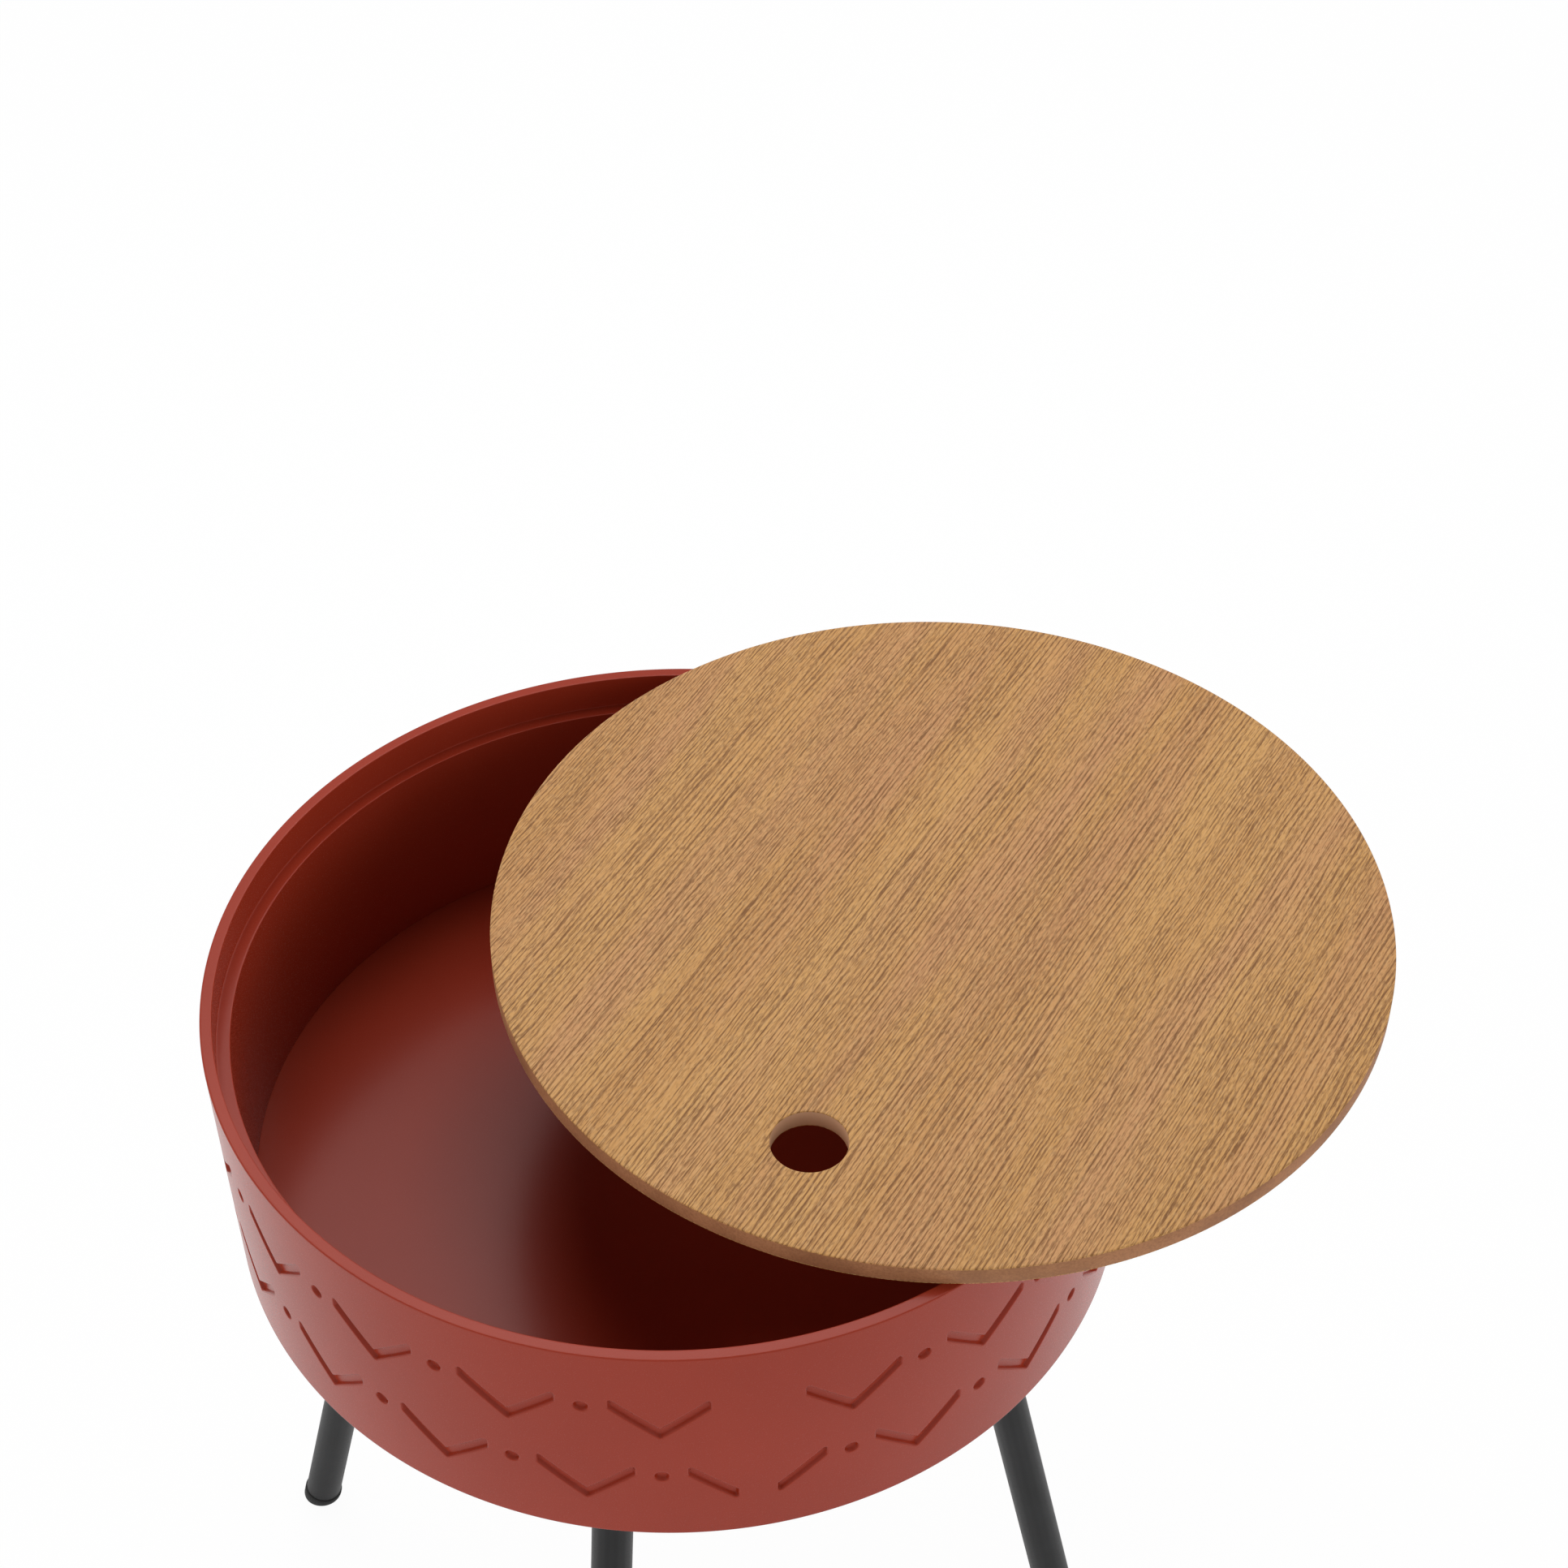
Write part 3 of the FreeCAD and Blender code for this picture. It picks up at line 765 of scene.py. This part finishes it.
def wall_parts():
    """Points and faces of every part of the wall."""
    parts = []
    for row in (0, 1):
        for tiles, count in lay_row(row):
            faces = tile_faces(tiles.shape[1], count)
            parts += [(points.reshape(-1, 3), faces) for points in wrapped(tiles)]
    profile = wall_profile()
    ring = carried_round(profile, seam_turn + columns / rim_radius)
    parts.append((ring.reshape(-1, 3), ring_faces(len(profile), len(columns))))
    return parts + [plain_patch()]


def stacked(parts):
    """Many parts as one array of points and one of faces."""
    counts = np.cumsum([0] + [len(points) for points, _ in parts])
    faces = np.concatenate([faces + start for (_, faces), start in zip(parts, counts)])
    return np.concatenate([points for points, _ in parts]), faces


make_piece("drum_shell", *stacked(wall_parts()), lacquer, "stand", "lacquered_drum", "drum_wall")

# %% [markdown]
# ## The lid
# The lid is a board with veneer on both faces, cut round, with a finger hole near its edge. Each layer is a
# stack of rings that starts on the hole's wall and ends on the outer edge. In between, a ring is a blend of
# the two circles, so one grid covers a disc with an off-centre hole.

# %% Three layers with a finger hole
lid_low, lid_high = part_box("lid_bottom_veneer")
lid_x = (lid_low.x + lid_high.x) / 2
lid_gap = 1.5 * mm
lid_radius = rebate_radius - lid_gap
finger_radius = 16 * mm
finger_out = 141 * mm
finger_turn = math.radians(-129)
hole_middle = finger_out * np.array([math.cos(finger_turn), math.sin(finger_turn)])
lid_samples = 288
veneer_ease = 0.45 * mm
sharp = 0.05 * mm
support_strip = 1.0 * mm
spread_shares = np.linspace(0.1, 0.9, 5)


def lid_layer(low, high, low_ease, high_ease):
    """Rings that go up the hole's wall, across the top, down the outer edge and back underneath. A ring on
    top or underneath is hole + share (rim - hole), point by point."""
    turn = np.linspace(0, 2 * math.pi, lid_samples, endpoint=False)
    circle = np.stack([np.cos(turn), np.sin(turn)], axis=1)
    quarter = np.radians([0, 30, 60, 90])
    top_in, top_z = high_ease * (1 - np.cos(quarter)), high - high_ease * (1 - np.sin(quarter))
    low_in, low_z = low_ease * (1 - np.cos(quarter)), low + low_ease * (1 - np.sin(quarter))
    inset = np.concatenate([low_in[::-1], top_in, [high_ease + support_strip]])
    height = np.concatenate([low_z[::-1], top_z, [high]])
    hole = hole_middle + (finger_radius + inset)[:, None, None] * circle
    rim = (lid_radius - inset[::-1])[:, None, None] * circle
    far_hole = hole_middle + (finger_radius + low_ease + support_strip) * circle
    far_rim = (lid_radius - low_ease - support_strip) * circle
    top = hole[-1] + spread_shares[:, None, None] * (rim[0] - hole[-1])
    under = far_rim + spread_shares[:, None, None] * (far_hole - far_rim)
    rings = np.concatenate([hole, top, rim, far_rim[None], under, far_hole[None]])
    heights = [height, np.full(len(spread_shares), high), height[::-1], np.full(len(spread_shares) + 2, low)]
    heights = np.concatenate(heights)
    z = np.broadcast_to(heights[:, None, None], (*rings.shape[:2], 1))
    points = np.concatenate([rings, z], axis=2) + np.array([lid_x, 0, 0])
    return points, ring_faces(len(points), lid_samples, closed_rings=True)


bottom_z = [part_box(node)[0].z for node in ("lid_bottom_veneer", "lid_core", "lid_top_veneer")]
lid_top_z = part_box("lid_top_veneer")[1].z
layers = [
    ("lid_under_veneer", bottom_z[0], bottom_z[1], veneer_ease, sharp, veneer, "veneer", "lid_bottom_veneer"),
    ("lid_board", bottom_z[1], bottom_z[2], sharp, sharp, board, "lid_board", "lid_core"),
    ("lid_face_veneer", bottom_z[2], lid_top_z, sharp, veneer_ease, veneer, "veneer", "lid_top_veneer"),
]
for name, low, high, low_ease, high_ease, finish, slot, node in layers:
    make_piece(name, *lid_layer(low, high, low_ease, high_ease), finish, "lid", slot, node)

# %% [markdown]
# The board's outer edge is stained to go with the veneer, and the finger hole's wall is the same stained
# board.
# Its finish turns paler close to the hole's axis: that is painted light on the hole's wall, standing in for
# light from the front.

# %% Painted light on the finger hole's wall
# The colour and reaches below paint light on the finger hole's wall: a paler board colour stands in for light
# from the front.
hole_painted_light = (0.55, 0.32, 0.19, 1)
hole_light_share = 0.8
hole_light_full_reach = 1 * mm
hole_light_fade_reach = 4 * mm


def paint_light_on_hole(material):
    """Colour = painted light, a paler board colour, on the hole's wall; stained board from a few millimetres
    outside it.
    """
    tree = material.node_tree
    base_colour = tree.nodes["Principled BSDF"].inputs["Base Color"]
    stained = base_colour.links[0].from_socket
    place = add_node(tree, "ShaderNodeTexCoord").outputs["Object"]
    level = add_node(tree, "ShaderNodeVectorMath", {0: place, 1: (1, 1, 0)}, operation="MULTIPLY").outputs[0]
    axis = (lid_x + hole_middle[0], hole_middle[1], 0)
    apart = add_node(tree, "ShaderNodeVectorMath", {0: level, 1: axis}, operation="DISTANCE").outputs["Value"]
    # Painted light: full on the hole's wall, fading to none a few millimetres outside it.
    hole_light_mask = band(tree, apart, finger_radius + hole_light_full_reach, finger_radius + hole_light_fade_reach, hole_light_share, 0.0)
    tree.links.new(blend_colours(tree, hole_light_mask, stained, hole_painted_light), base_colour)


paint_light_on_hole(board)
print("hole's axis at", np.round(hole_middle + np.array([lid_x, 0]), 4))

# %% [markdown]
# ## The legs
# Each leg is a round steel tube that leans outwards. It is welded to a plate under the drum, and its foot is
# closed by a plastic cap with a level sole. A ring of a leg is either square to the tube, or level like the
# plate and the floor: a level ring slides each point along the tube until it reaches the wanted height.

# %% Rings on a leaning tube
leg_lean = math.radians(12.5)
leg_circle = 131.5 * mm
plate_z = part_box("leg_plate_front")[0].z
foot_circle = leg_circle + plate_z * math.tan(leg_lean)
front_turn = math.radians(-115.5)
right_turn = math.radians(-31.5)
leg_turns = {"front": front_turn, "right": right_turn}
leg_turns.update({"back": front_turn + math.pi, "left": right_turn + math.pi})
leg_samples = 72
around = np.linspace(0, 2 * math.pi, leg_samples, endpoint=False)


def leg_rings(turn, radius, place, level):
    """Points at foot + h axis + radius (cos u side + sin u across). h is place on a square ring; on a level
    ring it is (place - radius cos u sin lean) / cos lean, so that the height is place."""
    radius = np.broadcast_to(np.asarray(radius, float), (len(place), leg_samples))
    place, level = np.asarray(place)[:, None], np.asarray(level)[:, None]
    out = np.array([math.cos(turn), math.sin(turn), 0])
    upright = np.array([0, 0, 1])
    axis = upright * math.cos(leg_lean) - out * math.sin(leg_lean)
    side = out * math.cos(leg_lean) + upright * math.sin(leg_lean)
    across = np.cross(upright, out)
    slid = (place - radius * np.cos(around) * math.sin(leg_lean)) / math.cos(leg_lean)
    h = np.where(level, slid, place)
    round_part = np.cos(around)[:, None] * side + np.sin(around)[:, None] * across
    return out * foot_circle + h[..., None] * axis + radius[..., None] * round_part


print(f"feet stand {foot_circle / mm:.1f} mm from the middle")

# %% [markdown]
# The weld is a small bead round the top of the tube. Its ripples are the marks of a welder's steps. It is
# part of the tube's own surface, a few extra rings whose radius swells towards the plate.

# %% Tubes with a weld bead
tube_radius = 9 * mm
tube_bore = 7.5 * mm
cap_thick = 6 * mm
bead_size = 3 * mm
bead_ripples = 16
ripple_height = 0.25 * mm
tube_ease = 0.3 * mm


def make_tube(leg, turn):
    """From the square foot up the outside, over the bead to the plate, and back down the bore."""
    swell = np.linspace(0, 1, 6)
    bead = tube_radius + bead_size * (1 - np.sqrt(1 - swell ** 2))
    ripple = ripple_height * np.abs(np.sin(bead_ripples / 2 * around)) * np.sin(math.pi * swell)[:, None]
    bead = bead[:, None] + ripple
    outside = np.array([tube_radius - tube_ease, tube_radius, tube_radius])[:, None] * np.ones(leg_samples)
    bore = np.full((2, leg_samples), tube_bore)
    foot = [cap_thick, cap_thick + tube_ease, cap_thick + 4 * tube_ease]
    place = np.concatenate([foot, plate_z - bead_size * (1 - swell), [plate_z, cap_thick]])
    level = np.array([False] * len(foot) + [True] * (len(swell) + 1) + [False])
    radius = np.concatenate([outside, bead, bore])
    points = leg_rings(turn, radius, place, level)
    faces = ring_faces(len(points), leg_samples, closed_rings=True)
    make_piece(f"tube_{leg}", points, faces, powder, "stand", "leg_steel", f"leg_tube_{leg}")


for leg, turn in leg_turns.items():
    make_tube(leg, turn)

# %% [markdown]
# A cap is a plug inside the tube with a wider head below. The head's sole is level, because the floor is,
# and its edge is rounded so that it doesn't mark the floor.

# %% Foot caps with a level sole
cap_radius = 9.6 * mm
plug_radius = 7.2 * mm
plug_length = 14 * mm
sole_ease = 1.6 * mm
head_ease = 0.4 * mm


def cap_parts(turn):
    """Middle of the sole, round its edge, up the head, in to the plug and up to its closed end."""
    quarter = np.radians([0, 22.5, 45, 67.5, 90])
    sole = cap_radius - sole_ease * (1 - np.sin(quarter))
    sole_z = sole_ease * (1 - np.cos(quarter))
    top = cap_thick + plug_length
    upper = [cap_radius, cap_radius - head_ease, plug_radius, plug_radius, 0]
    radius = np.concatenate([[0], sole, upper])
    place = np.concatenate([[0], sole_z, [cap_thick - head_ease, cap_thick, cap_thick, top, top]])
    level = np.array([True] * (1 + len(sole)) + [False] * len(upper))
    points = leg_rings(turn, radius[:, None], place, level)
    return points.reshape(-1, 3), ring_faces(len(points), leg_samples)


caps = stacked([cap_parts(turn) for turn in leg_turns.values()])
make_piece("foot_cap_set", *caps, plastic, "stand", "foot_plastic", "foot_caps")

# %% [markdown]
# ## Pieces that stay as they are
# The floor panel, the leg plates and the screws are flat-sided, and the frame's own meshes already have
# their true shape. They only need their finishes.

# %% Finishes for the frame's own pieces
kept = {"drum_floor": lacquer, "plate_screws": zinc}
kept.update({f"leg_plate_{leg}": powder for leg in leg_turns})
for node, finish in kept.items():
    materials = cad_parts[node].data.materials
    materials.clear()
    materials.append(finish)
print("kept from the frame:", sorted(kept))

# %% [markdown]
# ## The studio
# The photograph has a pure white background. The floor is pale and takes the table's shadow. To the camera it
# is mostly white by itself, and so it is in mirrored light, though there more of its real shading stays: the
# lacquer then mirrors a slightly darker floor close to the table.

# %% Pale floor and white surroundings
floor_half = 6.0
floor_grey = (0.94, 0.94, 0.94, 1)
seen_white = 0.95
mirrored_white = 0.9


def seen_rays(tree):
    """Two switches: 1 for rays from the camera, and 1 for mirrored or transmitted rays."""
    path = add_node(tree, "ShaderNodeLightPath")
    rays = {0: path.outputs["Is Glossy Ray"], 1: path.outputs["Is Transmission Ray"]}
    mirrored = add_node(tree, "ShaderNodeMath", rays, operation="MAXIMUM")
    return path.outputs["Is Camera Ray"], mirrored.outputs[0]


def make_floor():
    """A level square whose finish keeps a share of its real shading, and so of the shadow."""
    corners = np.array([(-1, -1, 0), (1, -1, 0), (1, 1, 0), (-1, 1, 0)]) * floor_half
    mesh = bpy.data.meshes.new("studio_floor")
    mesh.from_pydata(corners.tolist(), [], [(0, 1, 2, 3)])
    material, tree, shader, _ = new_finish("pale_floor")
    shader.inputs["Base Color"].default_value = floor_grey
    shader.inputs["Roughness"].default_value = 0.8
    direct, mirrored = seen_rays(tree)
    white = add_node(tree, "ShaderNodeEmission", {"Strength": 1.0}).outputs[0]
    direct = add_node(tree, "ShaderNodeMath", {0: direct, 1: seen_white}, operation="MULTIPLY").outputs[0]
    sockets = {0: mirrored, 1: mirrored_white, 2: direct}
    share = add_node(tree, "ShaderNodeMath", sockets, operation="MULTIPLY_ADD")
    mixed = add_node(tree, "ShaderNodeMixShader", {0: share.outputs[0], 1: shader.outputs[0], 2: white})
    tree.links.new(mixed.outputs[0], tree.nodes["Material Output"].inputs["Surface"])
    mesh.materials.append(material)
    floor = bpy.data.objects.new("studio_floor", mesh)
    bpy.context.scene.collection.objects.link(floor)


make_floor()
print("floor laid")

# %% [markdown]
# The light is a white studio: pale walls all round that glow up to some forty degrees, a dark ceiling, and
# one large lamp high up behind the table. The wall on the camera's side is dimmer. Such low light and the
# pale floor reach the outside of the drum from every side, while the inside, which only sees the ceiling,
# stays in soft shade. The level is plain: a mid grey comes out as a mid grey.

# %% Soft light of the room
room_light = 2.25
room_lean = 0.45
glow_top = 0.35
glow_end = 0.75
camera_front = camera_turn - math.pi / 2
front = (math.cos(camera_front), math.sin(camera_front), 0)


def make_room():
    """Light = room_light x glow by height x (1 - lean x how far the direction points to the front, if it
    does). Where the room is seen or mirrored, it is plain white."""
    world = bpy.data.worlds.new("white_room")
    world.use_nodes = True
    tree = world.node_tree
    direction = add_node(tree, "ShaderNodeTexCoord").outputs["Generated"]
    height = add_node(tree, "ShaderNodeSeparateXYZ", {0: direction}).outputs["Z"]
    sockets = {"Value": height, "From Min": glow_top, "From Max": glow_end}
    sockets.update({"To Min": room_light, "To Max": 0.0})
    glow = add_node(tree, "ShaderNodeMapRange", sockets, interpolation_type="SMOOTHSTEP").outputs["Result"]
    facing = add_node(tree, "ShaderNodeVectorMath", {0: direction, 1: front}, operation="DOT_PRODUCT")
    lean = band(tree, facing.outputs["Value"], 0, 1, 1, 1 - room_lean)
    light = add_node(tree, "ShaderNodeMath", {0: glow, 1: lean}, operation="MULTIPLY").outputs[0]
    direct, mirrored = seen_rays(tree)
    seen = add_node(tree, "ShaderNodeMath", {0: direct, 1: mirrored}, operation="MAXIMUM").outputs[0]
    strength = add_node(tree, "ShaderNodeMix", {0: seen, 2: light, 3: 1.0}).outputs[0]
    tree.links.new(strength, tree.nodes["Background"].inputs["Strength"])
    tree.nodes["Background"].inputs["Color"].default_value = (1, 1, 1, 1)
    bpy.context.scene.world = world


make_room()
print("room lit")

# %% [markdown]
# The lamp is a wide softbox on the far side of the table. It lights the lid and the floor inside from above,
# and the lacquer mirrors it softly.

# %% One lamp behind the table
lamp_power = 33
lamp_size = 1.6
lamp_distance = 2.4
lamp_elevation = math.radians(65)


def make_lamp(name, turn):
    """A square lamp that faces the middle of the rim from a direction round the table."""
    flat = math.cos(lamp_elevation)
    back = np.array([math.cos(turn) * flat, math.sin(turn) * flat, math.sin(lamp_elevation)])
    side = unit(np.cross([0, 0, 1], back))
    place = np.eye(4)
    place[:3, 0], place[:3, 1], place[:3, 2] = side, np.cross(back, side), back
    place[:3, 3] = back * lamp_distance + np.array([0, 0, rim_z])
    data = bpy.data.lights.new(name, "AREA")
    data.size = lamp_size
    data.energy = lamp_power
    lamp = bpy.data.objects.new(name, data)
    lamp.matrix_world = Matrix(place.tolist())
    bpy.context.scene.collection.objects.link(lamp)


make_lamp("back_softbox", camera_front + math.pi)
bpy.context.scene.view_settings.view_transform = "Standard"
print("lamp set")
